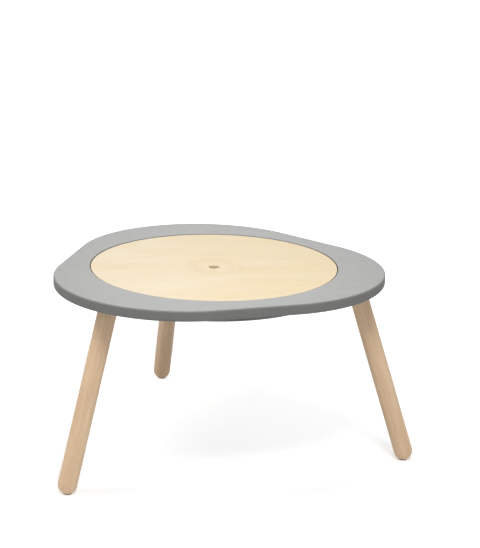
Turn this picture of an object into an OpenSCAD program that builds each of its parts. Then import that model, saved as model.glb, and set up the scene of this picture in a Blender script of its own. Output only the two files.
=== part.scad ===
// Children's play table: a three-lobed ring top on three splayed beech legs.
// A round plywood board lies in the ring and lifts out over a shallow storage tub.
// Millimetres. Origin: on the board's axis, in the plane of the ring's top face.
// +Z is up, the rear leg stands towards +Y and the front edge faces -Y.

/* [Play board] */
// Diameter of the plywood board
board_d = 594; // [560:1:640]
// Thickness of the plywood
board_t = 12; // [9:0.5:15]
// How far the board's face lies below the ring's top
board_drop = 1; // [0.5:0.1:3]
// Bevel around the board's two rims
board_ease = 1; // [0.5:0.1:2]
// Diameter of the shallow round hollow in the middle
dish_d = 140; // [100:1:200]
// Depth of that hollow at its centre
dish_depth = 3.5; // [2:0.1:5]
// Diameter of the finger hole that the board is lifted by
finger_hole_d = 24; // [18:0.5:40]
// Bevel on both ends of the finger hole
finger_hole_ease = 1; // [0.5:0.1:1.5]

/* [Ring top] */
// Thickness of the ring
ring_t = 25; // [22:0.5:32]
// Width of the ring at its three narrow sides
ring_side_w = 60.5; // [50:0.5:80]
// Width of the ring over each leg
ring_lobe_w = 115; // [105:0.5:135]
// Radius of the ring's rounded outer edge, above and below
ring_edge_r = 7; // [3:0.5:9]
// Gap around the board
board_gap = 2; // [1:0.1:4]
// Bevel on the rim of the opening
opening_ease = 1; // [0.5:0.1:2]
// Width of the ledge that carries the board
ledge_w = 9; // [7:0.5:18]

/* [Storage tub] */
// Depth of the tub below the ring
tub_depth = 27; // [20:1:90]
// Wall and floor of the tub
tub_wall = 3; // [2:0.1:4]
// How far the tub's wall stands back from the ledge
tub_setback = 5; // [3:0.5:8]
// Outer radius of the tub's bottom corner
tub_corner_r = 10; // [6:0.5:14]
// Thickness of the flange under the ring
tub_flange_t = 3; // [2:0.1:4]
// Width of the flange outside its screws
tub_flange_rim = 6; // [5:0.5:9]
// Diameter of the raised middle of the floor
tub_panel_d = 430; // [300:1:480]
// Height that the middle of the floor is raised by
tub_panel_rise = 4; // [2:0.5:8]
// Thickness of the ribs under the raised floor
tub_rib_t = 2.5; // [1.5:0.1:4]
// Number of radial ribs under the raised floor
tub_rib_count = 6; // [3:1:12]
// Diameter of the round rib that joins them
tub_rib_ring_d = 160; // [80:1:260]

/* [Tub screws] */
// Number of screws through the flange
tub_screw_count = 6; // [3, 6]
// Distance of the screws outside the board's opening
tub_screw_offset = 9; // [7:0.5:14]
// Diameter of the screws
tub_screw_d = 3.5; // [3:0.1:4]
// Length of the screws under their heads
tub_screw_l = 14; // [10:0.5:18]
// Diameter of the pan heads
tub_screw_head_d = 7; // [6:0.1:8]
// Height of the pan heads
tub_screw_head_h = 2.2; // [1.5:0.1:3]
// Diameter of the holes in the flange
tub_screw_hole_d = 4; // [4:0.1:5]

/* [Legs] */
// Height of the table
table_h = 450; // [380:1:560]
// Diameter of a leg
leg_d = 45; // [38:0.5:50]
// Lean of the legs from the vertical, in degrees
leg_lean = 18; // [10:0.5:22]
// From the edge of the ring in to the leg's axis, at the ring's underside
leg_inset = 67; // [60:0.5:75]

/* [Leg sockets] */
// Thickness of the socket's screwed plate
plate_t = 4; // [3:0.5:6]
// Rim of the plate outside the screw heads
plate_rim = 2; // [1.5:0.1:4]
// Distance between the leg and the heads of the plate's screws
plate_screw_gap = 3.5; // [3:0.1:6]
// Diameter of the countersunk screws
plate_screw_d = 4; // [3:0.5:5]
// Diameter of their heads
plate_screw_head_d = 8; // [7:0.1:10]
// Length of the screws
plate_screw_l = 18; // [12:0.5:20]

/* [Leg bolts] */
// Diameter of the bolt in the leg's top
bolt_d = 8; // [6:1:10]
// Length of the bolt above the leg
bolt_up = 18; // [14:0.5:22]
// Length of the bolt inside the leg
bolt_down = 42; // [30:1:60]
// Length of the threaded insert in the socket
insert_l = 9; // [8:0.5:14]
// Wall of the threaded insert
insert_wall = 2.5; // [2:0.1:4]
// Width of the insert's collar
insert_collar_w = 2; // [1.5:0.1:3]
// Thickness of the insert's collar
insert_collar_t = 1.5; // [1:0.1:2.5]

/* [Foot glides] */
// Diameter of the glide under a leg
glide_d = 21; // [16:0.5:26]
// Thickness of the glide
glide_t = 2; // [1.5:0.1:4]
// Bevel around the glide's sole
glide_ease = 0.5; // [0.2:0.1:1]
// Diameter of the pin that holds the glide
glide_pin_d = 3; // [2:0.1:5]
// Length of that pin
glide_pin_l = 12; // [8:0.5:20]

/* [Hidden] */
sides = ["rear", "left", "right"];
per_leg = ["leg_", "leg_socket_", "threaded_insert_", "hanger_bolt_", "socket_screws_", "foot_glide_"];

$fn = 180;
// clearance round screws, bolts and pins
fit = 0.05;
// length by which a cutting shape runs past what it cuts
over = 1;

// ring outline: three circles on a small pitch circle, joined by straight sides
opening_r = board_d / 2 + board_gap;
seat_depth = board_drop + board_t;
ledge_r = opening_r - ledge_w;
side_r = opening_r + ring_side_w;
lobe_tip_r = opening_r + ring_lobe_w;
lobe_offset = 2 * (lobe_tip_r - side_r);
lobe_r = lobe_tip_r - lobe_offset;
// the core stays inside the rounded edge, and the lobes and sides reach into it
core_r = side_r - ring_edge_r - 2;
core_lap = 3;
side_w = 30;
// the straight sides run into the lobes, and lie a hair inside them
side_lap = 1;
side_relief = 0.1;

// tub, hung under the ring by its flange
tub_r = ledge_r + tub_setback + tub_wall;
tub_screw_r = opening_r + tub_screw_offset;
flange_r = tub_screw_r + tub_flange_rim;
flange_notch_gap = 1;
// keeps the tub's wall even where its floor steps up at 45 degrees
step_shift = tub_wall * tan(22.5);

// leg and its fixings, measured along the leg's axis from the ring's underside
leg_r = leg_d / 2;
leg_circle_r = lobe_tip_r - leg_inset;
bolt_r = bolt_d / 2;
bolt_tip_l = 6;
bolt_tip_r = 1;
bolt_ease = 1;
bolt_pocket_gap = 1.5;
insert_r = bolt_r + insert_wall;
insert_collar_r = insert_r + insert_collar_w;
insert_sink = 0.3;
insert_start = (insert_sink + insert_collar_r * sin(leg_lean)) / cos(leg_lean);
// the leg's end clears both the insert and the plate
plate_clear = 0.6;
leg_start = max(insert_start + insert_l + insert_sink,
    (plate_t + plate_clear + leg_r * sin(leg_lean)) / cos(leg_lean));
plate_screw_r = leg_r + plate_screw_gap + plate_screw_head_d / 2;
plate_r = plate_screw_r + plate_screw_head_d / 2 + plate_rim;
plate_screw_angles = [60, 180, 300];
screw_point_l = 3;
screw_tip_r = 0.5;

// round end of a leg, cut level for the glide
glide_margin = 0.5;
dome_h = sqrt(pow(leg_r, 2) - pow(glide_d / 2 + glide_margin, 2));
leg_end = (table_h - ring_t - glide_t - dome_h) / cos(leg_lean);
foot_circle_r = leg_circle_r + leg_end * sin(leg_lean);
glide_pin_tip_l = 1;
glide_pin_tip_r = 1;

function side_angle(side) = 90 + 120 * search([side], sides)[0];

// Where a leg's axis meets the ring's underside
module at_leg(side) {
    rotate([0, 0, side_angle(side)]) translate([leg_circle_r, 0, -ring_t]) children();
}

// The same place, with +Z turned down along the leg
module along_leg(side) {
    at_leg(side) rotate([0, 180 - leg_lean, 0]) children();
}

module at_foot(side) {
    rotate([0, 0, side_angle(side)]) translate([foot_circle_r, 0, -table_h]) children();
}

module at_plate_screws(side) {
    at_leg(side) for (a = plate_screw_angles)
        rotate([0, 0, a]) translate([plate_screw_r, 0, -plate_t]) children();
}

module at_tub_screws() {
    for (i = [0:tub_screw_count - 1]) rotate([0, 0, 360 / tub_screw_count * i])
        translate([tub_screw_r, 0, -ring_t - tub_flange_t]) children();
}

// Half section of a slab with rounded edges
module rounded_section(inner, outer, height, edge_r) {
    translate([inner, -height]) square([outer - edge_r - inner, height]);
    translate([inner, edge_r - height]) square([outer - inner, height - 2 * edge_r]);
    for (y = [-edge_r, edge_r - height]) translate([outer - edge_r, y]) circle(r = edge_r, $fn = 48);
}

// Round core with a rounded lobe over each leg and a rounded straight side between two lobes
module ring_blank() {
    translate([0, 0, -ring_t]) cylinder(r = core_r, h = ring_t);
    for (side = sides) rotate([0, 0, side_angle(side)]) {
        translate([lobe_offset, 0, 0]) rotate([0, 0, -60]) rotate_extrude(angle = 120)
            rounded_section(core_r - core_lap - lobe_offset, lobe_r, ring_t, ring_edge_r);
        rotate([90, 0, 60]) linear_extrude(height = lobe_offset * sqrt(3) + 2 * side_lap, center = true)
            rounded_section(core_r - side_w, side_r - side_relief, ring_t, ring_edge_r);
    }
}

module ring_top() {
    color("#b6b6b4") difference() {
        ring_blank();
        // seat for the board, with a bevelled rim
        translate([0, 0, -seat_depth]) cylinder(r = opening_r, h = seat_depth + over);
        translate([0, 0, -opening_ease])
            cylinder(r1 = opening_r, r2 = opening_r + opening_ease + over, h = opening_ease + over);
        // way down into the tub
        translate([0, 0, -ring_t - over]) cylinder(r = ledge_r, h = ring_t + 2 * over);
        at_tub_screws() cylinder(d = tub_screw_d + 2 * fit, h = tub_flange_t + tub_screw_l);
        for (side = sides) {
            at_plate_screws(side) cylinder(d = plate_screw_d + 2 * fit, h = plate_screw_l + over);
            // room for the end of the leg's bolt
            along_leg(side) translate([0, 0, leg_start - bolt_up - bolt_pocket_gap])
                cylinder(r = bolt_r + bolt_pocket_gap, h = bolt_up);
        }
    }
}

// The board is one turned shape, from its finger hole out to its rim
module play_board() {
    r = board_d / 2;
    hole_r = finger_hole_d / 2;
    ball_r = (pow(dish_d / 2, 2) + pow(dish_depth, 2)) / (2 * dish_depth);
    hole_top = ball_r - dish_depth - sqrt(pow(ball_r, 2) - pow(hole_r + finger_hole_ease, 2));
    color("#f2e2c4") translate([0, 0, -board_drop]) rotate_extrude() difference() {
        polygon([
            [hole_r + finger_hole_ease, -board_t], [r - board_ease, -board_t], [r, board_ease - board_t],
            [r, -board_ease], [r - board_ease, 0], [hole_r + finger_hole_ease + over, 0],
            [hole_r + finger_hole_ease + over, hole_top + over], [hole_r, hole_top - finger_hole_ease],
            [hole_r, finger_hole_ease - board_t]]);
        // hollow, part of a large ball
        translate([0, ball_r - dish_depth]) circle(r = ball_r, $fn = 720);
    }
}

// Half section of a bowl with a rounded corner and a floor that steps up in the middle
module bowl_section(r, depth, corner_r, panel_r) {
    difference() {
        union() {
            translate([0, -depth]) square([r - corner_r, depth]);
            translate([0, corner_r - depth]) square([r, depth - corner_r]);
            translate([r - corner_r, corner_r - depth]) circle(r = corner_r, $fn = 64);
        }
        polygon([
            [-over, -depth - over], [panel_r + tub_panel_rise + over, -depth - over],
            [panel_r, tub_panel_rise - depth], [-over, tub_panel_rise - depth]]);
    }
}

module tub_ribs() {
    rib_ring_r = tub_rib_ring_d / 2;
    rib_l = tub_panel_d / 2 + tub_panel_rise + over - rib_ring_r;
    difference() {
        cylinder(r = rib_ring_r + tub_rib_t / 2, h = tub_panel_rise + over);
        translate([0, 0, -over]) cylinder(r = rib_ring_r - tub_rib_t / 2, h = tub_panel_rise + 3 * over);
    }
    for (i = [0:tub_rib_count - 1]) rotate([0, 0, 360 / tub_rib_count * (i + 0.5)])
        translate([rib_ring_r, -tub_rib_t / 2, 0]) cube([rib_l, tub_rib_t, tub_panel_rise + over]);
}

module storage_tub() {
    panel_r = tub_panel_d / 2;
    color("#6b6c6d") difference() {
        translate([0, 0, -ring_t]) {
            rotate_extrude() difference() {
                union() {
                    bowl_section(tub_r, tub_depth, tub_corner_r, panel_r);
                    translate([0, -tub_flange_t]) square([flange_r, tub_flange_t]);
                }
                translate([0, over]) bowl_section(tub_r - tub_wall, tub_depth - tub_wall + over,
                    tub_corner_r - tub_wall, panel_r + step_shift);
            }
            translate([0, 0, -tub_depth]) tub_ribs();
        }
        at_tub_screws() translate([0, 0, -over]) cylinder(d = tub_screw_hole_d, h = tub_flange_t + 2 * over);
        // notches that clear the leg sockets
        for (side = sides) at_leg(side) translate([0, 0, -tub_flange_t - over])
            cylinder(r = plate_r + flange_notch_gap, h = tub_flange_t + 2 * over);
    }
}

module tub_screws() {
    head_r = tub_screw_head_d / 2;
    shank_r = tub_screw_d / 2;
    color("#b9bcc0") at_tub_screws() rotate_extrude() polygon([
        [0, -tub_screw_head_h], [head_r - tub_screw_head_h / 2, -tub_screw_head_h],
        [head_r, -tub_screw_head_h / 2], [head_r, 0], [shank_r, 0], [shank_r, tub_screw_l - screw_point_l],
        [screw_tip_r, tub_screw_l], [0, tub_screw_l]]);
}

module leg(side) {
    color("#d6b78f") difference() {
        along_leg(side) difference() {
            translate([0, 0, leg_start]) rotate_extrude() {
                length = leg_end - leg_start;
                square([leg_r, length]);
                intersection() {
                    translate([0, length]) circle(r = leg_r);
                    square([leg_r, length + leg_r]);
                }
            }
            translate([0, 0, leg_start - over]) cylinder(r = bolt_r + fit, h = bolt_down + over);
        }
        // level cut and pin hole for the glide
        at_foot(side) {
            translate([0, 0, glide_t - leg_d]) cylinder(r = leg_d, h = leg_d);
            cylinder(d = glide_pin_d + 2 * fit, h = glide_t + glide_pin_l);
        }
    }
}

// Plate with a slanted boss that the leg's end bears on
module leg_socket(side) {
    head_r = plate_screw_head_d / 2;
    shank_r = plate_screw_d / 2;
    color("#3a3c3f") difference() {
        union() {
            at_leg(side) translate([0, 0, -plate_t]) cylinder(r = plate_r, h = plate_t);
            difference() {
                along_leg(side) translate([0, 0, -leg_r]) cylinder(r = leg_r, h = leg_r + leg_start);
                at_leg(side) cylinder(r = leg_d, h = leg_d);
            }
        }
        along_leg(side) {
            translate([0, 0, -leg_r])
                cylinder(r = insert_collar_r + fit, h = leg_r + insert_start + insert_collar_t);
            cylinder(r = insert_r + fit, h = leg_start + over);
        }
        at_plate_screws(side) {
            cylinder(r1 = head_r, r2 = shank_r, h = head_r - shank_r);
            translate([0, 0, -over]) cylinder(r = shank_r + fit, h = plate_t + 2 * over);
        }
    }
}

module threaded_insert(side) {
    color("#c9a35a") along_leg(side) translate([0, 0, insert_start]) difference() {
        union() {
            cylinder(r = insert_collar_r, h = insert_collar_t);
            cylinder(r = insert_r, h = insert_l);
        }
        translate([0, 0, -over]) cylinder(r = bolt_r + fit, h = insert_l + 2 * over);
    }
}

module hanger_bolt(side) {
    length = bolt_up + bolt_down;
    color("#b9bcc0") along_leg(side) translate([0, 0, leg_start - bolt_up]) rotate_extrude() polygon([
        [0, 0], [bolt_r - bolt_ease, 0], [bolt_r, bolt_ease], [bolt_r, length - bolt_tip_l],
        [bolt_tip_r, length], [0, length]]);
}

module socket_screws(side) {
    head_r = plate_screw_head_d / 2;
    shank_r = plate_screw_d / 2;
    color("#b9bcc0") at_plate_screws(side) rotate_extrude() polygon([
        [0, 0], [head_r, 0], [shank_r, head_r - shank_r], [shank_r, plate_screw_l - screw_point_l],
        [screw_tip_r, plate_screw_l], [0, plate_screw_l]]);
}

module foot_glide(side) {
    r = glide_d / 2;
    pin_r = glide_pin_d / 2;
    pin_top = glide_t + glide_pin_l;
    color("#55524e") at_foot(side) rotate_extrude() polygon([
        [0, 0], [r - glide_ease, 0], [r, glide_ease], [r, glide_t], [pin_r, glide_t],
        [pin_r, pin_top - glide_pin_tip_l], [glide_pin_tip_r, pin_top], [0, pin_top]]);
}

ring_top();
play_board();
storage_tub();
tub_screws();
for (side = sides) {
    leg(side);
    leg_socket(side);
    threaded_insert(side);
    hanger_bolt(side);
    socket_screws(side);
    foot_glide(side);
}
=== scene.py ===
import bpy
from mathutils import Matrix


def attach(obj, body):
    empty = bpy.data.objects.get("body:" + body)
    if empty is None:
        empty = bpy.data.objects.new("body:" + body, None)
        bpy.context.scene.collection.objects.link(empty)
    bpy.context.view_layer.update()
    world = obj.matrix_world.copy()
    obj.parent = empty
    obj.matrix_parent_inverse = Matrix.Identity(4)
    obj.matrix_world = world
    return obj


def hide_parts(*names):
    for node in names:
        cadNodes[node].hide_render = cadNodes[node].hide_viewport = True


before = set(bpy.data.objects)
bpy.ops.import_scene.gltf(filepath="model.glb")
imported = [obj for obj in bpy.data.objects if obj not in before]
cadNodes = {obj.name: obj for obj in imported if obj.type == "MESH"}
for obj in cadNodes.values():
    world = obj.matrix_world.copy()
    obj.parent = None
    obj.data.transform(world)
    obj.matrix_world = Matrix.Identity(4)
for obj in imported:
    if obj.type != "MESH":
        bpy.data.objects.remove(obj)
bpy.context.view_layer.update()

import math

import bmesh
import bpy
from mathutils import Matrix, Vector

mm = 0.001
scene = bpy.context.scene
legAngles = {"rear": 90, "left": 210, "right": 330}
print("frame loaded,", len(cadNodes), "CAD nodes")


def linearColour(hexText):
    channels = [int(hexText[i:i + 2], 16) / 255 for i in (1, 3, 5)]
    return [c / 12.92 if c <= 0.04045 else ((c + 0.055) / 1.055) ** 2.4 for c in channels] + [1]


# inputs takes socket names or numbers, each with a value, the socket that feeds it, or a node that does by its
# first output. Map Range takes its value as 0, from where as 1 and 2, to where as 3 and 4. Mix takes its share
# as 0, and what it mixes as 2 and 3 for numbers, 4 and 5 for vectors, 6 and 7 for colours
def addNode(tree, kind, inputs=None, **settings):
    node = tree.nodes.new(kind)
    for key, value in settings.items():
        setattr(node, key, value)
    for key, value in (inputs or {}).items():
        if isinstance(value, bpy.types.Node):
            value = value.outputs[0]
        if isinstance(value, bpy.types.NodeSocket):
            tree.links.new(value, node.inputs[key])
        else:
            node.inputs[key].default_value = value
    return node


def startMaterial(name):
    material = bpy.data.materials.new(name)
    material.use_nodes = True
    material.node_tree.nodes.clear()
    return material, material.node_tree


def endMaterial(tree, values):
    shader = addNode(tree, "ShaderNodeBsdfPrincipled", values)
    addNode(tree, "ShaderNodeOutputMaterial", {"Surface": shader})


# most of a noise's values lie between these two
noiseLow, noiseHigh = 0.3, 0.7

# Satin lacquer, sprayed on board: an even grey with a faint orange peel and slightly cloudy gloss, duller on the
# cut edge, which soaks it up. levelFrom says how far up a surface faces where the dull edge ends
ringFinish = {
    "colour": "#7c7c7a", "cloud": "#787876", "ior": 1.5, "roughness": (0.30, 0.35), "edgeRoughness": 0.8,
    "levelFrom": (0.35, 0.9), "peelSize": 2.4, "peelDepth": 0.012}

# Moulded plastics: a spark-eroded grain, drawn coarser than it is so that it shows, and a slightly uneven tone
# the tub's grey is darker than the ring's, partly as painted shade for the shade under the table top
tubFinish = {
    "colour": "#595958", "cloud": "#545453", "ior": 1.5, "roughness": (0.46, 0.56), "peelSize": 0.6, "peelDepth": 0.02}
socketFinish = {
    "colour": "#4a4c4f", "cloud": "#434548", "ior": 1.5, "roughness": (0.5, 0.62), "peelSize": 0.5, "peelDepth": 0.02}
# the glides' dark grey is partly painted shade, for the contact shadow where each foot meets the floor
glideFinish = {
    "colour": "#58534c", "cloud": "#504b45", "ior": 1.5, "roughness": (0.55, 0.7), "peelSize": 0.5, "peelDepth": 0.02}

# how wide the patches of tone and of gloss are, in mm
patchSize = {"tone": 90, "gloss": 25}


def smoothMaterial(name, finish):
    material, tree = startMaterial(name)
    place = addNode(tree, "ShaderNodeTexCoord").outputs["Object"]
    cloud = addNode(tree, "ShaderNodeTexNoise", {"Vector": place, "Scale": 1 / (patchSize["tone"] * mm), "Detail": 3.0})
    colour = addNode(tree, "ShaderNodeMix", {
        0: cloud, 6: linearColour(finish["colour"]), 7: linearColour(finish["cloud"])}, data_type="RGBA").outputs[2]
    gloss = addNode(tree, "ShaderNodeTexNoise", {
        "Vector": place, "Scale": 1 / (patchSize["gloss"] * mm), "Detail": 5.0})
    low, high = finish["roughness"]
    rough = addNode(tree, "ShaderNodeMapRange", {0: gloss, 1: noiseLow, 2: noiseHigh, 3: low, 4: high})
    if "edgeRoughness" in finish:
        steep, level = finish["levelFrom"]
        facing = addNode(tree, "ShaderNodeSeparateXYZ", {0: addNode(tree, "ShaderNodeNewGeometry").outputs["Normal"]})
        edge = addNode(tree, "ShaderNodeMapRange", {0: facing.outputs[2], 1: steep, 2: level, 3: 1.0, 4: 0.0})
        rough = addNode(tree, "ShaderNodeMix", {0: edge, 2: rough, 3: finish["edgeRoughness"]}, data_type="FLOAT")
    peel = addNode(tree, "ShaderNodeTexNoise", {"Vector": place, "Scale": 1 / (finish["peelSize"] * mm), "Detail": 1.0})
    bump = addNode(tree, "ShaderNodeBump", {"Height": peel, "Strength": 1.0, "Distance": finish["peelDepth"] * mm})
    endMaterial(tree, {"Base Color": colour, "Roughness": rough, "Normal": bump, "IOR": finish["ior"]})
    return material


# Clear-lacquered birch plywood: a thin rotary-cut face with soft wandering figure, warmer plies that show on cut
# edges and in the hollow, and freshly sanded cut edges that are paler than the face. That pale colour on upright
# faces is also painted light, which lifts the shaded wall of the finger hole. The fibres are drawn coarser
# than they are, so that they show. Heights, thicknesses and pattern sizes are in mm, and glue widths in plies
birchFinish = {
    "pale": "#d7c6a6", "warm": "#d2ba86", "line": "#bd9e6e", "crossPly": "#d2ba90", "sawnAndPaintedLight": "#f4deb2",
    "glue": "#b3966a", "ior": 1.5, "roughness": (0.36, 0.46), "bumpStrength": 0.5, "bumpDepth": 0.02,
    "faceHeight": -1, "faceThickness": 0.4, "plyThickness": 1.6, "grainTurn": 6,
    "innerShare": 0.4, "crossShare": 0.1, "sawnAndPaintedLightTilt": (0.2, 0.6), "glueShare": 0.2, "glueWidth": (0.03, 0.08),
    "toneFrom": (0.25, 0.75), "driftReach": (-220, 280), "driftShare": 0.3,
    "lineCount": 70, "lineFrom": (0.4, 1.0), "lineShare": 0.24, "breakFrom": (0.50, 0.66),
    "fibreShade": (0.955, 1.03), "fleckFrom": (0.68, 0.80), "fleckShade": 0.88,
    "patterns": {
        "figure": {"length": 300, "width": 75, "detail": 3.0, "distortion": 0.6, "plyJump": 3.7},
        "breaks": {"length": 200, "width": 60, "detail": 2.0, "distortion": 0.0, "plyJump": 5.1},
        "fibres": {"length": 35, "width": 0.8, "detail": 3.0, "distortion": 0.0, "plyJump": 9.0},
        "flecks": {"length": 7, "width": 0.9, "detail": 1.0, "distortion": 0.0, "plyJump": 2.3}}}


def plywoodMaterial(name, finish):
    material, tree = startMaterial(name)
    place = addNode(tree, "ShaderNodeTexCoord").outputs["Object"]
    turn = (0, 0, math.radians(finish["grainTurn"]))
    turned = addNode(tree, "ShaderNodeMapping", {"Vector": place, "Rotation": turn})
    axes = addNode(tree, "ShaderNodeSeparateXYZ", {0: turned}).outputs
    # depth counts plies and is whole at each glue line
    firstGlue = (finish["faceHeight"] - finish["faceThickness"]) * mm
    depth = addNode(tree, "ShaderNodeMapRange", {
        0: axes[2], 1: firstGlue + finish["plyThickness"] * mm, 2: firstGlue, 3: 0.0, 4: 1.0}, clamp=False)
    ply = addNode(tree, "ShaderNodeMath", {0: depth}, operation="FLOOR")
    odd = addNode(tree, "ShaderNodeMath", {0: ply, 1: 2.0}, operation="FLOORED_MODULO")
    # the figure of each ply runs across the one below it
    along = addNode(tree, "ShaderNodeCombineXYZ", {0: axes[0], 1: axes[1], 2: ply})
    across = addNode(tree, "ShaderNodeCombineXYZ", {0: axes[1], 1: axes[0], 2: ply})
    grain = addNode(tree, "ShaderNodeMix", {0: odd, 4: along, 5: across}, data_type="VECTOR").outputs[1]
    noises = {}
    for key, pattern in finish["patterns"].items():
        stretch = (1 / (pattern["length"] * mm), 1 / (pattern["width"] * mm), pattern["plyJump"])
        stretched = addNode(tree, "ShaderNodeVectorMath", {0: grain, 1: stretch}, operation="MULTIPLY")
        noises[key] = addNode(tree, "ShaderNodeTexNoise", {
            "Vector": stretched, "Scale": 1.0, "Detail": pattern["detail"], "Distortion": pattern["distortion"]})
    # the veneer is one wide sheet that yellows towards its right side
    left, right = finish["driftReach"]
    drift = addNode(tree, "ShaderNodeMapRange", {
        0: axes[0], 1: left * mm, 2: right * mm, 3: -finish["driftShare"], 4: finish["driftShare"]})
    low, high = finish["toneFrom"]
    tone = addNode(tree, "ShaderNodeMapRange", {0: noises["figure"], 1: low, 2: high})
    tone = addNode(tree, "ShaderNodeMath", {0: tone, 1: drift}, operation="ADD", use_clamp=True)
    # growth lines follow the same wandering figure, and are broken off here and there
    wave = addNode(tree, "ShaderNodeMath", {0: noises["figure"], 1: finish["lineCount"]}, operation="MULTIPLY")
    wave = addNode(tree, "ShaderNodeMath", {0: wave}, operation="SINE")
    low, high = finish["lineFrom"]
    lines = addNode(tree, "ShaderNodeMapRange", {0: wave, 1: low, 2: high, 3: 0.0, 4: finish["lineShare"]})
    low, high = finish["breakFrom"]
    breaks = addNode(tree, "ShaderNodeMapRange", {0: noises["breaks"], 1: low, 2: high})
    lines = addNode(tree, "ShaderNodeMath", {0: lines, 1: breaks}, operation="MULTIPLY")
    colour = linearColour(finish["pale"])
    for key, share in {"warm": tone, "line": lines}.items():
        colour = addNode(tree, "ShaderNodeMix", {0: share, 6: colour, 7: linearColour(finish[key])}, data_type="RGBA")
        colour = colour.outputs[2]
    fibres = noises["fibres"]
    dark, light = finish["fibreShade"]
    shade = addNode(tree, "ShaderNodeMapRange", {0: fibres, 1: noiseLow, 2: noiseHigh, 3: dark, 4: light})
    low, high = finish["fleckFrom"]
    flecks = addNode(tree, "ShaderNodeMapRange", {
        0: noises["flecks"], 1: low, 2: high, 3: 1.0, 4: finish["fleckShade"]})
    shade = addNode(tree, "ShaderNodeMath", {0: shade, 1: flecks}, operation="MULTIPLY")
    colour = addNode(tree, "ShaderNodeVectorMath", {0: colour, 3: shade}, operation="SCALE").outputs[0]
    # inner plies are warmer than the face, cross plies most
    inner = addNode(tree, "ShaderNodeMapRange", {0: ply, 1: 0.0, 2: 1.0, 3: 0.0, 4: finish["innerShare"]})
    cross = addNode(tree, "ShaderNodeMath", {0: odd, 1: finish["crossShare"], 2: inner}, operation="MULTIPLY_ADD")
    # upright faces turn pale: partly sanded cut edge, and partly painted light on the shaded wall of the finger hole
    steep, level = finish["sawnAndPaintedLightTilt"]
    facing = addNode(tree, "ShaderNodeSeparateXYZ", {0: addNode(tree, "ShaderNodeNewGeometry").outputs["Normal"]})
    tilt = addNode(tree, "ShaderNodeMath", {0: facing.outputs[2]}, operation="ABSOLUTE")
    sawnAndPaintedLight = addNode(tree, "ShaderNodeMapRange", {0: tilt, 1: steep, 2: level, 3: 1.0, 4: 0.0})
    thin, wide = finish["glueWidth"]
    nearest = addNode(tree, "ShaderNodeMath", {0: depth, 1: 0.5}, operation="PINGPONG")
    glue = addNode(tree, "ShaderNodeMapRange", {0: nearest, 1: thin, 2: wide, 3: finish["glueShare"], 4: 0.0})
    for key, share in {"crossPly": cross, "sawnAndPaintedLight": sawnAndPaintedLight, "glue": glue}.items():
        colour = addNode(tree, "ShaderNodeMix", {0: share, 6: colour, 7: linearColour(finish[key])}, data_type="RGBA")
        colour = colour.outputs[2]
    low, high = finish["roughness"]
    rough = addNode(tree, "ShaderNodeMapRange", {0: fibres, 1: noiseLow, 2: noiseHigh, 3: low, 4: high})
    bump = addNode(tree, "ShaderNodeBump", {
        "Height": fibres, "Strength": finish["bumpStrength"], "Distance": finish["bumpDepth"] * mm})
    endMaterial(tree, {"Base Color": colour, "Roughness": rough, "Normal": bump, "IOR": finish["ior"]})
    return material


# Turned and clear-oiled beech: straight grain along the leg, faint year rings round a pith that lies outside it,
# and short dark ray flecks, drawn coarser than they are so that they show. Ring and pattern sizes are in mm
beechFinish = {
    "pale": "#f0d3b0", "warm": "#e3c09c", "ring": "#d6ae86", "fleck": "#b1855f",
    "ior": 1.5, "roughness": (0.5, 0.62), "bumpStrength": 0.6, "bumpDepth": 0.03,
    "ringWidth": 3, "ringWander": 4, "ringShare": 0.28,
    "fibreShade": (0.93, 1.05), "fleckFrom": (0.62, 0.72), "fleckShare": 0.32,
    "patterns": {
        "figure": {"length": 160, "width": 22, "detail": 3.0},
        "fibres": {"length": 45, "width": 0.8, "detail": 3.0},
        "flecks": {"length": 6, "width": 1.2, "detail": 1.0}}}


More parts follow.
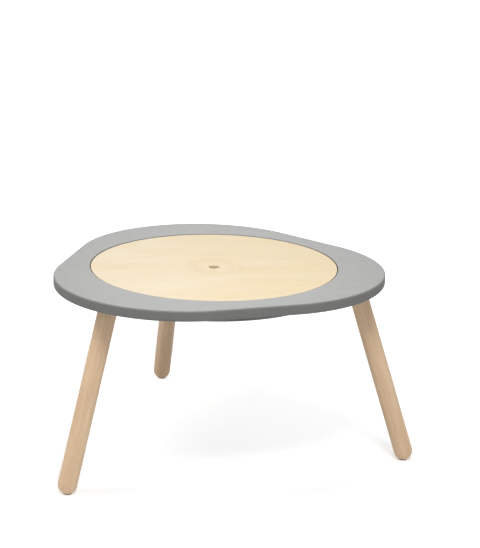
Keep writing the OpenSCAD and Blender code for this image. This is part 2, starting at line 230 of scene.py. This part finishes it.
def beechMaterial(name, finish):
    material, tree = startMaterial(name)
    # the attribute holds places in the leg's own frame, with Z along the grain
    place = addNode(tree, "ShaderNodeAttribute", attribute_name="grainPlace").outputs["Vector"]
    noises = {}
    for key, pattern in finish["patterns"].items():
        along, across = 1 / (pattern["length"] * mm), 1 / (pattern["width"] * mm)
        stretched = addNode(tree, "ShaderNodeVectorMath", {0: place, 1: (across, across, along)}, operation="MULTIPLY")
        noises[key] = addNode(tree, "ShaderNodeTexNoise", {
            "Vector": stretched, "Scale": 1.0, "Detail": pattern["detail"]})
    tone = addNode(tree, "ShaderNodeMapRange", {0: noises["figure"], 1: noiseLow, 2: noiseHigh})
    flat = addNode(tree, "ShaderNodeVectorMath", {0: place, 1: (1, 1, 0)}, operation="MULTIPLY")
    pith = addNode(tree, "ShaderNodeVectorMath", {0: flat}, operation="LENGTH").outputs["Value"]
    rings = addNode(tree, "ShaderNodeMath", {
        0: noises["figure"], 1: finish["ringWander"] * mm, 2: pith}, operation="MULTIPLY_ADD")
    ringsPerMetre = 1 / (finish["ringWidth"] * mm)
    rings = addNode(tree, "ShaderNodeMath", {0: rings, 1: 2 * math.pi * ringsPerMetre}, operation="MULTIPLY")
    rings = addNode(tree, "ShaderNodeMath", {0: rings}, operation="SINE")
    rings = addNode(tree, "ShaderNodeMapRange", {0: rings, 1: 0.0, 2: 1.0, 3: 0.0, 4: finish["ringShare"]})
    colour = linearColour(finish["pale"])
    for key, share in {"warm": tone, "ring": rings}.items():
        colour = addNode(tree, "ShaderNodeMix", {0: share, 6: colour, 7: linearColour(finish[key])}, data_type="RGBA")
        colour = colour.outputs[2]
    fibres = noises["fibres"]
    dark, light = finish["fibreShade"]
    shade = addNode(tree, "ShaderNodeMapRange", {0: fibres, 1: noiseLow, 2: noiseHigh, 3: dark, 4: light})
    colour = addNode(tree, "ShaderNodeVectorMath", {0: colour, 3: shade}, operation="SCALE").outputs[0]
    low, high = finish["fleckFrom"]
    flecks = addNode(tree, "ShaderNodeMapRange", {
        0: noises["flecks"], 1: low, 2: high, 3: 0.0, 4: finish["fleckShare"]})
    colour = addNode(tree, "ShaderNodeMix", {
        0: flecks, 6: colour, 7: linearColour(finish["fleck"])}, data_type="RGBA").outputs[2]
    low, high = finish["roughness"]
    rough = addNode(tree, "ShaderNodeMapRange", {0: fibres, 1: noiseLow, 2: noiseHigh, 3: low, 4: high})
    bump = addNode(tree, "ShaderNodeBump", {
        "Height": fibres, "Strength": finish["bumpStrength"], "Distance": finish["bumpDepth"] * mm})
    endMaterial(tree, {"Base Color": colour, "Roughness": rough, "Normal": bump, "IOR": finish["ior"]})
    return material


# Plated steel with a crystalline zinc bloom, and turned brass with a faint mottle, both drawn coarse enough to show
zincFinish = {"colour": "#c9ccd0", "bloom": "#b4b8be", "roughness": (0.26, 0.42), "bloomSize": 0.8}
brassFinish = {"colour": "#d9b56c", "bloom": "#c79f55", "roughness": (0.28, 0.4), "bloomSize": 0.5}


def metalMaterial(name, finish):
    material, tree = startMaterial(name)
    place = addNode(tree, "ShaderNodeTexCoord").outputs["Object"]
    bloom = addNode(tree, "ShaderNodeTexNoise", {
        "Vector": place, "Scale": 1 / (finish["bloomSize"] * mm), "Detail": 4.0})
    colour = addNode(tree, "ShaderNodeMix", {
        0: bloom, 6: linearColour(finish["colour"]), 7: linearColour(finish["bloom"])}, data_type="RGBA").outputs[2]
    low, high = finish["roughness"]
    rough = addNode(tree, "ShaderNodeMapRange", {0: bloom, 1: noiseLow, 2: noiseHigh, 3: low, 4: high})
    endMaterial(tree, {"Base Color": colour, "Roughness": rough, "Metallic": 1.0})
    return material


greyLacquer = smoothMaterial("satinGreyLacquer", ringFinish)
birchPlywood = plywoodMaterial("lacqueredBirchPlywood", birchFinish)
turnedBeech = beechMaterial("oiledTurnedBeech", beechFinish)
tubPlastic = smoothMaterial("mouldedGreyPolypropylene", tubFinish)
socketNylon = smoothMaterial("glassFilledNylon", socketFinish)
glideNylon = smoothMaterial("glideNylon", glideFinish)
zincSteel = metalMaterial("zincPlatedSteel", zincFinish)
insertBrass = metalMaterial("turnedBrass", brassFinish)
print("materials made")

supportGap = 0.3  # mm at most, from a rounding to its support point


# corners are (x, y, radius) in mm; each rounding ends in a support point, so that the flats beside it shade flat
def roundedSection(corners, closed=True, stepsPerQuarter=6):
    points = []
    for i, (x, y, radius) in enumerate(corners):
        here = Vector((x, y))
        if radius == 0 or (not closed and i in (0, len(corners) - 1)):
            points.append(here)
            continue
        back = (Vector(corners[i - 1][:2]) - here).normalized()
        ahead = (Vector(corners[(i + 1) % len(corners)][:2]) - here).normalized()
        half = back.angle(ahead) / 2
        reach = radius / math.tan(half)
        support = min(supportGap, reach / 4)
        centre = here + (back + ahead).normalized() * radius / math.sin(half)
        arm = here + back * reach - centre
        turn = (math.pi - 2 * half) * (1 if arm.cross(here - centre) > 0 else -1)
        steps = max(2, round(abs(turn) / (math.pi / 2) * stepsPerQuarter))
        points.append(here + back * (reach + support))
        for k in range(steps + 1):
            points.append(centre + Matrix.Rotation(turn * k / steps, 2) @ arm)
        points.append(here + ahead * (reach + support))
    return [tuple(p * mm) for p in points]


def meshFrom(name, bm):
    mesh = bpy.data.meshes.new(name)
    bm.to_mesh(mesh)
    bm.free()
    return mesh


# turns a section of (radius, height) round Z; reach may change a ring's radius with the angle
def turnedMesh(name, section, steps=128, closed=False, reach=None):
    bm = bmesh.new()
    rings = []
    for x, z in section:
        if x < 1e-7:  # on the axis
            rings.append([bm.verts.new((0, 0, z))])
            continue
        ring = []
        for k in range(steps):
            angle = 2 * math.pi * k / steps
            r = reach(x, angle) if reach else x
            ring.append(bm.verts.new((r * math.cos(angle), r * math.sin(angle), z)))
        rings.append(ring)
    for lower, upper in zip(rings, rings[1:] + (rings[:1] if closed else [])):
        for k in range(steps):
            n = (k + 1) % steps
            corners = [lower[k % len(lower)], lower[n % len(lower)], upper[n % len(upper)], upper[k % len(upper)]]
            corners = list(dict.fromkeys(corners))
            if len(corners) > 2:
                bm.faces.new(corners)
    bmesh.ops.recalc_face_normals(bm, faces=bm.faces)
    return meshFrom(name, bm)


# runs a Geometry Nodes tree on a mesh and keeps the result as a plain mesh
def grown(name, mesh, tree, values):
    carrier = bpy.data.objects.new(name, mesh)
    scene.collection.objects.link(carrier)
    modifier = carrier.modifiers.new("grow", "NODES")
    modifier.node_group = tree
    sockets = {item.name: item.identifier for item in tree.interface.items_tree if item.in_out == "INPUT"}
    for key, value in values.items():
        modifier[sockets[key]] = value
    finished = bpy.data.meshes.new_from_object(carrier.evaluated_get(bpy.context.evaluated_depsgraph_get()))
    bpy.data.objects.remove(carrier)
    finished.name = name
    return finished


def placePiece(name, mesh, body, replaced, material=None, sharpAngle=35):
    if material:
        mesh.materials.clear()
        mesh.materials.append(material)
    mesh.shade_smooth()
    mesh.set_sharp_from_angle(angle=math.radians(sharpAngle))
    piece = bpy.data.objects.new(name, mesh)
    scene.collection.objects.link(piece)
    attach(piece, body)
    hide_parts(*replaced)


def startTree(name, sockets):
    tree = bpy.data.node_groups.new(name, "GeometryNodeTree")
    for label, kind in {"Geometry": "Geometry", **sockets, "Material": "Material"}.items():
        tree.interface.new_socket(label, in_out="INPUT", socket_type="NodeSocket" + kind)
    tree.interface.new_socket("Geometry", in_out="OUTPUT", socket_type="NodeSocketGeometry")
    return tree, addNode(tree, "NodeGroupInput").outputs


def endTree(tree, geometry, material):
    real = addNode(tree, "GeometryNodeRealizeInstances", {"Geometry": geometry})
    painted = addNode(tree, "GeometryNodeSetMaterial", {"Geometry": real, "Material": material})
    addNode(tree, "NodeGroupOutput", {"Geometry": painted})


# The ring's outline is a triangle with its corners rounded to the lobes. The section runs along it, and the
# points that carry a circle's radius are drawn to that circle
def ringTree():
    tree, given = startTree("lobedRing", {"Side Radius": "Float", "Lobe Radius": "Float", "Segments": "Int"})
    lobeSteps = 64
    tip = addNode(tree, "ShaderNodeMath", {0: given["Side Radius"], 1: 2.0}, operation="MULTIPLY")
    triangle = addNode(tree, "GeometryNodeCurvePrimitiveCircle", {"Resolution": 3, "Radius": tip})
    rounded = addNode(tree, "GeometryNodeFilletCurve", {
        "Curve": triangle, "Count": lobeSteps, "Radius": given["Lobe Radius"]}, mode="POLY")
    turned = addNode(tree, "GeometryNodeTransform", {
        "Geometry": rounded, "Rotation": (0, 0, math.radians(legAngles["rear"]))})
    even = addNode(tree, "GeometryNodeResampleCurve", {"Curve": turned, "Count": given["Segments"]})
    level = addNode(tree, "GeometryNodeSetCurveNormal", {"Curve": even}, mode="Z_UP")
    section = addNode(tree, "GeometryNodeMeshToCurve", {"Mesh": given["Geometry"]})
    swept = addNode(tree, "GeometryNodeCurveToMesh", {"Curve": level, "Profile Curve": section})
    circle = addNode(tree, "GeometryNodeInputNamedAttribute", {"Name": "circleRadius"}, data_type="FLOAT")
    isCircle = addNode(tree, "FunctionNodeCompare", {0: circle, 1: 0.0}, data_type="FLOAT", operation="GREATER_THAN")
    axes = addNode(tree, "ShaderNodeSeparateXYZ", {0: addNode(tree, "GeometryNodeInputPosition")}).outputs
    flat = addNode(tree, "ShaderNodeCombineXYZ", {0: axes[0], 1: axes[1]})
    outward = addNode(tree, "ShaderNodeVectorMath", {0: flat}, operation="NORMALIZE")
    drawn = addNode(tree, "ShaderNodeVectorMath", {0: outward, 3: circle}, operation="SCALE")
    height = addNode(tree, "ShaderNodeCombineXYZ", {2: axes[2]})
    target = addNode(tree, "ShaderNodeVectorMath", {0: drawn, 1: height}, operation="ADD")
    moved = addNode(tree, "GeometryNodeSetPosition", {"Geometry": swept, "Selection": isCircle, "Position": target})
    plain = addNode(tree, "GeometryNodeRemoveAttribute", {"Geometry": moved, "Name": "circleRadius"})
    endTree(tree, plain, given["Material"])
    return tree


# Copies what it is given round a circle, each copy turned with it, and first cuts a cross recess into it where
# that has a length
def circleTree():
    tree, given = startTree("aroundCircle", {
        "Count": "Int", "Radius": "Float", "First Angle": "Float", "Centre": "Vector",
        "Recess Length": "Float", "Recess Width": "Float", "Recess Bottom": "Float"})
    cutter = addNode(tree, "GeometryNodeJoinGeometry")
    cutterHeight = 20 * mm
    middle = addNode(tree, "ShaderNodeMath", {0: given["Recess Bottom"], 1: cutterHeight / 2}, operation="SUBTRACT")
    place = addNode(tree, "ShaderNodeCombineXYZ", {2: middle})
    for longAxis in (0, 1):
        size = addNode(tree, "ShaderNodeCombineXYZ", {
            longAxis: given["Recess Length"], 1 - longAxis: given["Recess Width"], 2: cutterHeight})
        bar = addNode(tree, "GeometryNodeMeshCube", {"Size": size})
        moved = addNode(tree, "GeometryNodeTransform", {"Geometry": bar, "Translation": place})
        tree.links.new(moved.outputs[0], cutter.inputs[0])
    cut = addNode(tree, "GeometryNodeMeshBoolean", {
        0: given["Geometry"], 1: cutter, "Self Intersection": True}, operation="DIFFERENCE", solver="EXACT")
    hasRecess = addNode(tree, "FunctionNodeCompare", {
        0: given["Recess Length"], 1: 0.0}, data_type="FLOAT", operation="GREATER_THAN")
    single = addNode(tree, "GeometryNodeSwitch", {
        "Switch": hasRecess, "False": given["Geometry"], "True": cut}, input_type="GEOMETRY")
    points = addNode(tree, "GeometryNodeMeshCircle", {"Vertices": given["Count"], "Radius": given["Radius"]})
    step = addNode(tree, "ShaderNodeMath", {0: 2 * math.pi, 1: given["Count"]}, operation="DIVIDE")
    index = addNode(tree, "GeometryNodeInputIndex")
    angle = addNode(tree, "ShaderNodeMath", {0: index, 1: step}, operation="MULTIPLY")
    turn = addNode(tree, "FunctionNodeEulerToRotation", {0: addNode(tree, "ShaderNodeCombineXYZ", {2: angle})})
    copies = addNode(tree, "GeometryNodeInstanceOnPoints", {"Points": points, "Instance": single, "Rotation": turn})
    start = addNode(tree, "ShaderNodeCombineXYZ", {2: given["First Angle"]})
    placed = addNode(tree, "GeometryNodeTransform", {
        "Geometry": copies, "Translation": given["Centre"], "Rotation": start})
    endTree(tree, placed, given["Material"])
    return tree


lobedRing = ringTree()
aroundCircle = circleTree()

ringSize = {
    "sideRadius": 359.5, "lobeRadius": 305, "openingRadius": 299, "ledgeRadius": 290, "seatDepth": 13, "thickness": 25,
    "upperEdge": 4.0, "lowerEdge": 5.5, "ledgeEdge": 0.6, "seatCorner": 0.3, "mouthEdges": (0.4, 0.5), "ease": 1,
    "segments": 480}


def buildRing(size):
    inner, ledge, side = size["openingRadius"], size["ledgeRadius"], size["sideRadius"]
    base, seat, ease = -size["thickness"], -size["seatDepth"], size["ease"]
    lowerMouth, upperMouth = size["mouthEdges"]
    corners = [
        (side, 0, size["upperEdge"]), (side, base, size["lowerEdge"]), (ledge, base, size["ledgeEdge"]),
        (ledge, seat, size["ledgeEdge"]), (inner, seat, size["seatCorner"]), (inner, -ease, lowerMouth),
        (inner + ease, 0, upperMouth)]
    points = roundedSection(corners, stepsPerQuarter=10)
    # the section's inner half belongs to the round seat, and its outer half to the lobed outline
    middle = (inner + side - size["lowerEdge"]) / 2 * mm
    count = len(points)
    section = bpy.data.meshes.new("ringSection")
    section.from_pydata([(x - side * mm, -y, 0) for x, y in points], [(k, (k + 1) % count) for k in range(count)], [])
    radii = section.attributes.new("circleRadius", "FLOAT", "POINT")
    radii.data.foreach_set("value", [x if x < middle else 0.0 for x, y in points])
    mesh = grown("ringTop", section, lobedRing, {
        "Side Radius": side * mm, "Lobe Radius": size["lobeRadius"] * mm, "Segments": size["segments"],
        "Material": greyLacquer})
    bm = bmesh.new()
    bm.from_mesh(mesh)
    bmesh.ops.recalc_face_normals(bm, faces=bm.faces)
    bm.to_mesh(mesh)
    bm.free()
    placePiece("ringTop", mesh, "table", ["ring_top"])


buildRing(ringSize)
print("ring made")

boardSize = {
    "radius": 297, "thickness": 12, "drop": 1, "ease": 0.8, "dishRadius": 70, "dishDepth": 3.5, "dishEdge": 0.6,
    "holeRadius": 12, "holeEase": 2.0, "edgeSteps": 8, "dishSteps": 20, "holeSteps": 4}


# the hollow is part of a large ball, and its rim is a little softer than a sharp cut
def buildBoard(size):
    radius, ease, hole, holeEase = size["radius"], size["ease"], size["holeRadius"], size["holeEase"]
    dish, dishEdge, top = size["dishRadius"], size["dishEdge"], -size["drop"]
    low = top - size["thickness"]
    ball = (dish ** 2 + size["dishDepth"] ** 2) / (2 * size["dishDepth"])

    def dishHeight(r):
        return top - size["dishDepth"] + ball - math.sqrt(ball ** 2 - r ** 2)

    outer = [
        (hole, (low + top) / 2, 0), (hole, low, holeEase), (radius, low, ease), (radius, top, ease),
        (dish + dishEdge, top, 0)]
    section = roundedSection(outer, closed=False)
    drop = top - dishHeight(dish - dishEdge)
    for k in range(1, size["edgeSteps"]):
        share = k / size["edgeSteps"]
        section.append(((dish + dishEdge * (1 - 2 * share)) * mm, (top - drop * share ** 2) * mm))
    start, end = dish - dishEdge, hole + holeEase
    for k in range(size["dishSteps"] + 1):
        r = start + (end - start) * k / size["dishSteps"]
        section.append((r * mm, dishHeight(r) * mm))
    for k in range(1, size["holeSteps"] + 1):
        angle = math.pi / 2 * k / size["holeSteps"]
        r, z = hole + holeEase * (1 - math.sin(angle)), dishHeight(end) - holeEase * (1 - math.cos(angle))
        section.append((r * mm, z * mm))
    mesh = turnedMesh("playBoard", section, steps=360, closed=True)
    placePiece("playBoard", mesh, "board", ["play_board"], birchPlywood)


buildBoard(boardSize)
print("board made")

# the middle of the floor is raised as a panel, with a 45 degree slope round it
tubSize = {
    "radius": 298, "depth": 27, "wall": 3, "corner": 10, "flangeRadius": 314, "flangeThickness": 3, "top": -25,
    "panelRadius": 215, "panelRise": 4, "panelEdge": 1.5, "floorBend": 3, "lipEdge": 0.5, "flangeEdge": 0.8,
    "notchRadius": 37, "legCircle": 347, "flangeBand": 2,
    "ribThickness": 2.5, "ribCount": 6, "ribRingRadius": 80, "ribEdge": 0.6, "ribSunk": 0.5, "ribGap": 1}


def buildTub(size):
    top, low, wall, rise = size["top"], size["top"] - size["depth"], size["wall"], size["panelRise"]
    panel, radius, flange = size["panelRadius"], size["radius"], size["flangeRadius"]
    inner, floor, under = panel + wall * math.tan(math.radians(45 / 2)), low + wall, top - size["flangeThickness"]
    corners = [
        (0, floor + rise, 0), (inner, floor + rise, size["floorBend"]), (inner + rise, floor, size["floorBend"]),
        (radius - wall, floor, size["corner"] - wall), (radius - wall, top, size["lipEdge"]),
        (flange, top, size["lipEdge"]), (flange, under, size["flangeEdge"]), (radius, under, size["flangeEdge"]),
        (radius, low, size["corner"]), (panel + rise, low, size["panelEdge"]), (panel, low + rise, size["panelEdge"]),
        (0, low + rise, 0)]
    section = roundedSection(corners, closed=False, stepsPerQuarter=8)
    legs = [Matrix.Rotation(math.radians(a), 2) @ Vector((size["legCircle"], 0)) * mm for a in legAngles.values()]

    # the flange steps back round each leg socket
    def flangeReach(x, angle):
        if x < (flange - size["flangeBand"]) * mm:
            return x
        ray = Vector((math.cos(angle), math.sin(angle)))
        inset = (size["notchRadius"] + flange) * mm - x
        reach = x
        for leg in legs:
            along, off = ray.dot(leg), abs(ray.cross(leg))
            if along > 0 and off < inset:
                reach = min(reach, along - math.sqrt(inset ** 2 - off ** 2))
        return reach

    mesh = turnedMesh("storageTub", section, steps=720, reach=flangeReach)
    placePiece("storageTub", mesh, "table", ["storage_tub"], tubPlastic)
    # ribs under the raised floor, with a round one that joins them
    ribTop, half, ribRing = low + rise + size["ribSunk"], size["ribThickness"] / 2, size["ribRingRadius"]
    ribLength = panel + rise - ribRing - size["ribGap"]
    bm = bmesh.new()
    bmesh.ops.create_cube(bm, size=1.0)
    bmesh.ops.scale(bm, vec=Vector((ribLength, size["ribThickness"], ribTop - low)) * mm, verts=bm.verts)
    bmesh.ops.translate(bm, vec=Vector((ribLength / 2, 0, (low + ribTop) / 2)) * mm, verts=bm.verts)
    lowEdges = [e for e in bm.edges if all(v.co.z < (low + rise / 2) * mm for v in e.verts)]
    lowLongEdges = [e for e in lowEdges if abs((e.verts[0].co - e.verts[1].co).x) > mm]
    bmesh.ops.bevel(bm, geom=lowLongEdges, offset=size["ribEdge"] * mm, segments=3, affect="EDGES", profile=0.5)
    ribs = grown("tubRibs", meshFrom("tubRib", bm), aroundCircle, {
        "Count": size["ribCount"], "Radius": ribRing * mm, "First Angle": math.pi / size["ribCount"],
        "Material": tubPlastic})
    placePiece("tubRibs", ribs, "table", [])
    ringCorners = [
        (ribRing - half, ribTop, 0), (ribRing - half, low, size["ribEdge"]), (ribRing + half, low, size["ribEdge"]),
        (ribRing + half, ribTop, 0)]
    roundRib = turnedMesh("tubRoundRib", roundedSection(ringCorners), steps=180, closed=True)
    placePiece("tubRoundRib", roundRib, "table", [], tubPlastic)


buildTub(tubSize)
print("tub made")

# start and end are measured down the leg from the ring's underside, and the dome below the end is cut level. The
# piths say where each leg lay in its tree, in mm across and along the grain
legSize = {
    "radius": 22.45, "lean": 18, "circle": 347, "top": -25, "start": 12.38, "end": 424.13, "topEase": 1.2,
    "cutHeight": -448, "bodyStart": 3, "bodySteps": 12, "domeSteps": 24,
    "piths": {"rear": (48, 31, 0), "left": (-37, 52, 700), "right": (20, -61, 1500)}}


def buildLeg(side, size):
    radius, start, end = size["radius"], size["start"], size["end"]
    section = roundedSection([(0, start, 0), (radius, start, size["topEase"]), (radius, end, 0)], closed=False)[:-1]
    first = start + size["bodyStart"]
    for k in range(1, size["bodySteps"] + 1):
        section.append((radius * mm, (first + (end - first) * k / size["bodySteps"]) * mm))
    for k in range(1, size["domeSteps"]):
        angle = math.pi / 2 * k / size["domeSteps"]
        section.append((radius * math.cos(angle) * mm, (end + radius * math.sin(angle)) * mm))
    section.append((0.0, (end + radius) * mm))
    turn = Matrix.Rotation(math.radians(legAngles[side]), 4, "Z")
    lean = Matrix.Rotation(math.radians(180 - size["lean"]), 4, "Y")
    place = turn @ Matrix.Translation(Vector((size["circle"], 0, size["top"])) * mm) @ lean
    name = "leg" + side.capitalize()
    mesh = turnedMesh(name, section, steps=96)
    mesh.transform(place)
    bm = bmesh.new()
    bm.from_mesh(mesh)
    cut = bmesh.ops.bisect_plane(
        bm, geom=[*bm.verts, *bm.edges, *bm.faces], plane_co=(0, 0, size["cutHeight"] * mm), plane_no=(0, 0, -1),
        clear_outer=True)
    bmesh.ops.contextual_create(bm, geom=[g for g in cut["geom_cut"] if isinstance(g, bmesh.types.BMEdge)])
    bmesh.ops.recalc_face_normals(bm, faces=bm.faces)
    bm.to_mesh(mesh)
    bm.free()
    back, pith = place.inverted(), Vector(size["piths"][side]) * mm
    grainPlace = mesh.attributes.new("grainPlace", "FLOAT_VECTOR", "POINT")
    grainPlace.data.foreach_set("vector", [c for v in mesh.vertices for c in back @ v.co + pith])
    placePiece(name, mesh, "table", ["leg_" + side], turnedBeech)


for side in legAngles:
    buildLeg(side, legSize)
print("legs made")

tubScrewSize = {
    "countersunk": False, "count": 6, "circle": 308, "firstTurn": 0, "height": -28,
    "headDiameter": 7, "headHeight": 2.2, "diameter": 3.5, "length": 14,
    "recessLength": 3.6, "recessWidth": 0.9, "recessDepth": 1.5}
socketScrewSize = {
    "countersunk": True, "count": 3, "circle": 30, "firstTurn": 60, "height": -29,
    "headDiameter": 8, "headHeight": 2, "diameter": 4, "length": 18,
    "recessLength": 4.2, "recessWidth": 1.0, "recessDepth": 1.6}


# a countersunk head tapers up from its face, and a pan head is crowned below the flange
def buildScrews(name, size, replaced, centre=(0, 0), turn=0.0):
    head, shank, tall, length = size["headDiameter"] / 2, size["diameter"] / 2, size["headHeight"], size["length"]
    if size["countersunk"]:
        face = 0
        corners = [(0, 0, 0), (head, 0, 0.15), (head, 0.25, 0.1), (shank, tall + 0.1, 0.3)]
    else:
        face = -tall
        corners = [(0, face, 0), (head * 0.62, face, 2.2), (head, face * 0.45, 0.7), (head, 0, 0.1), (shank, 0, 0.2)]
    tipRadius, tipLength = 0.4, 3
    corners += [(shank, length - tipLength, 0.5), (tipRadius, length, 0.1), (0, length, 0)]
    screw = turnedMesh(name + "Blank", roundedSection(corners, closed=False, stepsPerQuarter=4), steps=48)
    mesh = grown(name, screw, aroundCircle, {
        "Count": size["count"], "Radius": size["circle"] * mm, "First Angle": turn + math.radians(size["firstTurn"]),
        "Centre": Vector((*centre, size["height"])) * mm, "Recess Length": size["recessLength"] * mm,
        "Recess Width": size["recessWidth"] * mm, "Recess Bottom": (face + size["recessDepth"]) * mm,
        "Material": zincSteel})
    placePiece(name, mesh, "table", replaced, sharpAngle=30)


buildScrews("tubScrews", tubScrewSize, ["tub_screws"])
for side, degrees in legAngles.items():
    turn = math.radians(degrees)
    centre = (legSize["circle"] * math.cos(turn), legSize["circle"] * math.sin(turn))
    buildScrews("socketScrews" + side.capitalize(), socketScrewSize, ["socket_screws_" + side], centre, turn)
print("screws made")

glideSize = {
    "radius": 10.5, "thickness": 2, "ease": 0.7, "innerEdge": 0.2, "circle": 478.06, "floor": -450,
    "pinRadius": 1.5, "pinLength": 12, "pinEdge": 0.4}


def buildGlides(size):
    rise, pin, edge = size["thickness"], size["pinRadius"], size["innerEdge"]
    pinTop = rise + size["pinLength"]
    corners = [
        (0, 0, 0), (size["radius"], 0, size["ease"]), (size["radius"], rise, edge), (pin, rise, edge),
        (pin, pinTop, size["pinEdge"]), (0, pinTop, 0)]
    glide = turnedMesh("glideBlank", roundedSection(corners, closed=False), steps=64)
    mesh = grown("footGlides", glide, aroundCircle, {
        "Count": len(legAngles), "Radius": size["circle"] * mm, "First Angle": math.radians(legAngles["rear"]),
        "Centre": (0, 0, size["floor"] * mm), "Material": glideNylon})
    placePiece("footGlides", mesh, "table", ["foot_glide_" + side for side in legAngles])


buildGlides(glideSize)

# the CAD's own sockets, inserts and bolts stay and take these finishes
keptNodes = {"leg_socket_": socketNylon, "threaded_insert_": insertBrass, "hanger_bolt_": zincSteel}
for prefix, material in keptNodes.items():
    for side in legAngles:
        node = cadNodes[prefix + side]
        node.data.materials.clear()
        node.data.materials.append(material)
print("fixings made")

# Camera as fitted to the photograph: place in metres, azimuth in degrees, the other angles in radians, and the
# focal length for a 36 mm sensor
cameraPlace = {
    "location": (-1.1538, -3.8065, 1.1106), "azimuth": -17.768, "downward": 0.2772, "roll": 0.0208, "focal": 112.28,
    "sensor": 36, "near": 0.05, "far": 60}


def buildCamera(place):
    turn, down, roll = math.radians(place["azimuth"]), place["downward"], place["roll"]
    ahead = Vector((-math.sin(turn) * math.cos(down), math.cos(turn) * math.cos(down), -math.sin(down)))
    level = Vector((math.cos(turn), math.sin(turn), 0))
    upright = level.cross(ahead)
    right = level * math.cos(roll) + upright * math.sin(roll)
    above = upright * math.cos(roll) - level * math.sin(roll)
    data = bpy.data.cameras.new("photoCamera")
    data.sensor_fit, data.sensor_width, data.lens = "AUTO", place["sensor"], place["focal"]
    data.clip_start, data.clip_end = place["near"], place["far"]
    camera = bpy.data.objects.new("photoCamera", data)
    facing = Matrix((right, above, -ahead)).transposed().to_4x4()
    camera.matrix_world = Matrix.Translation(Vector(place["location"])) @ facing
    scene.collection.objects.link(camera)
    scene.camera = camera


buildCamera(cameraPlace)

# Soft studio light, in metres: a softbox above the front edge, one at the left, a broad one behind, a small one
# high above the middle, and a pale room. The floor's glow falls from its middle to the feet of the table, and
# rises to white from riseFrom; each pair is a distance from glowCentre and the glow there
studio = {
    "roomLevel": 0.39, "floorTone": 0.88, "floorShade": 0.9, "floorReach": 12.0, "aim": (0, 0, -0.1),
    "glowCentre": (0.07, 0.18, 0.0), "middle": (0.36, 0.68), "feet": (0.58, 0.44), "riseFrom": 0.60, "far": (1.3, 1.0),
    "lamps": {
        "front": {"place": (-0.12, -1.28, 1.92), "size": 0.72, "watts": 24.5},
        "left": {"place": (-1.53, 0.21, 1.65), "size": 0.7, "watts": 11},
        "rear": {"place": (0.8, 2.6, 1.6), "size": 2.0, "watts": 12},
        "above": {"place": (0.10, 0.05, 3.5), "size": 0.5, "watts": 21}}}
white = (1, 1, 1, 1)


# 1 for rays that only look at the backdrop: from the camera, or by way of gloss or glass
def backdropRays(tree):
    path = addNode(tree, "ShaderNodeLightPath").outputs
    seen = addNode(tree, "ShaderNodeMath", {0: path["Is Camera Ray"], 1: path["Is Glossy Ray"]}, operation="ADD")
    return addNode(tree, "ShaderNodeMath", {0: seen, 1: path["Is Transmission Ray"]}, operation="ADD", use_clamp=True)


def buildLamps(lamps, aim):
    for name, lamp in lamps.items():
        data = bpy.data.lights.new(name, "AREA")
        data.shape, data.size, data.energy = "DISK", lamp["size"], lamp["watts"]
        light = bpy.data.objects.new(name, data)
        light.location = lamp["place"]
        light.rotation_euler = (Vector(aim) - light.location).to_track_quat("-Z", "Y").to_euler()
        scene.collection.objects.link(light)


def buildRoom(level):
    world = bpy.data.worlds.new("paleRoom")
    world.use_nodes = True
    tree = world.node_tree
    tree.nodes.clear()
    room = addNode(tree, "ShaderNodeBackground", {"Color": white, "Strength": level})
    backdrop = addNode(tree, "ShaderNodeBackground", {"Color": white, "Strength": 1.0})
    mixed = addNode(tree, "ShaderNodeMixShader", {0: backdropRays(tree), 1: room, 2: backdrop})
    addNode(tree, "ShaderNodeOutputWorld", {"Surface": mixed})
    scene.world = world


# the floor glows for rays that look at the backdrop, so that it looks white, and keeps a share of the shadows
def buildFloor(studio):
    material, tree = startMaterial("paleStudioFloor")
    seen = backdropRays(tree)
    place = addNode(tree, "ShaderNodeTexCoord").outputs["Object"]
    flat = addNode(tree, "ShaderNodeVectorMath", {0: place, 1: (1, 1, 0)}, operation="MULTIPLY")
    away = addNode(tree, "ShaderNodeVectorMath", {0: flat, 1: studio["glowCentre"]}, operation="DISTANCE")
    away = away.outputs["Value"]
    (middle, middleGlow), (feet, feetGlow), (far, farGlow) = studio["middle"], studio["feet"], studio["far"]
    inward = addNode(tree, "ShaderNodeMapRange", {
        0: away, 1: middle, 2: feet, 3: middleGlow - feetGlow, 4: 0.0}, interpolation_type="SMOOTHSTEP")
    outward = addNode(tree, "ShaderNodeMapRange", {0: away, 1: studio["riseFrom"], 2: far, 3: feetGlow, 4: farGlow})
    glow = addNode(tree, "ShaderNodeMath", {0: inward, 1: outward}, operation="ADD")
    glow = addNode(tree, "ShaderNodeMath", {0: glow, 1: seen}, operation="MULTIPLY")
    light = addNode(tree, "ShaderNodeEmission", {"Color": white, "Strength": glow})
    tone = addNode(tree, "ShaderNodeMapRange", {
        0: seen, 3: studio["floorTone"], 4: studio["floorTone"] * studio["floorShade"]})
    matt = addNode(tree, "ShaderNodeBsdfDiffuse", {"Color": tone})
    both = addNode(tree, "ShaderNodeAddShader", {0: matt, 1: light})
    addNode(tree, "ShaderNodeOutputMaterial", {"Surface": both})
    reach, height = studio["floorReach"], glideSize["floor"] * mm
    mesh = bpy.data.meshes.new("studioFloor")
    corners = [(x * reach, y * reach, height) for x, y in ((-1, -1), (1, -1), (1, 1), (-1, 1))]
    mesh.from_pydata(corners, [], [(0, 1, 2, 3)])
    mesh.materials.append(material)
    floor = bpy.data.objects.new("studioFloor", mesh)
    scene.collection.objects.link(floor)


buildLamps(studio["lamps"], studio["aim"])
buildRoom(studio["roomLevel"])
buildFloor(studio)
scene.view_settings.view_transform = "Standard"
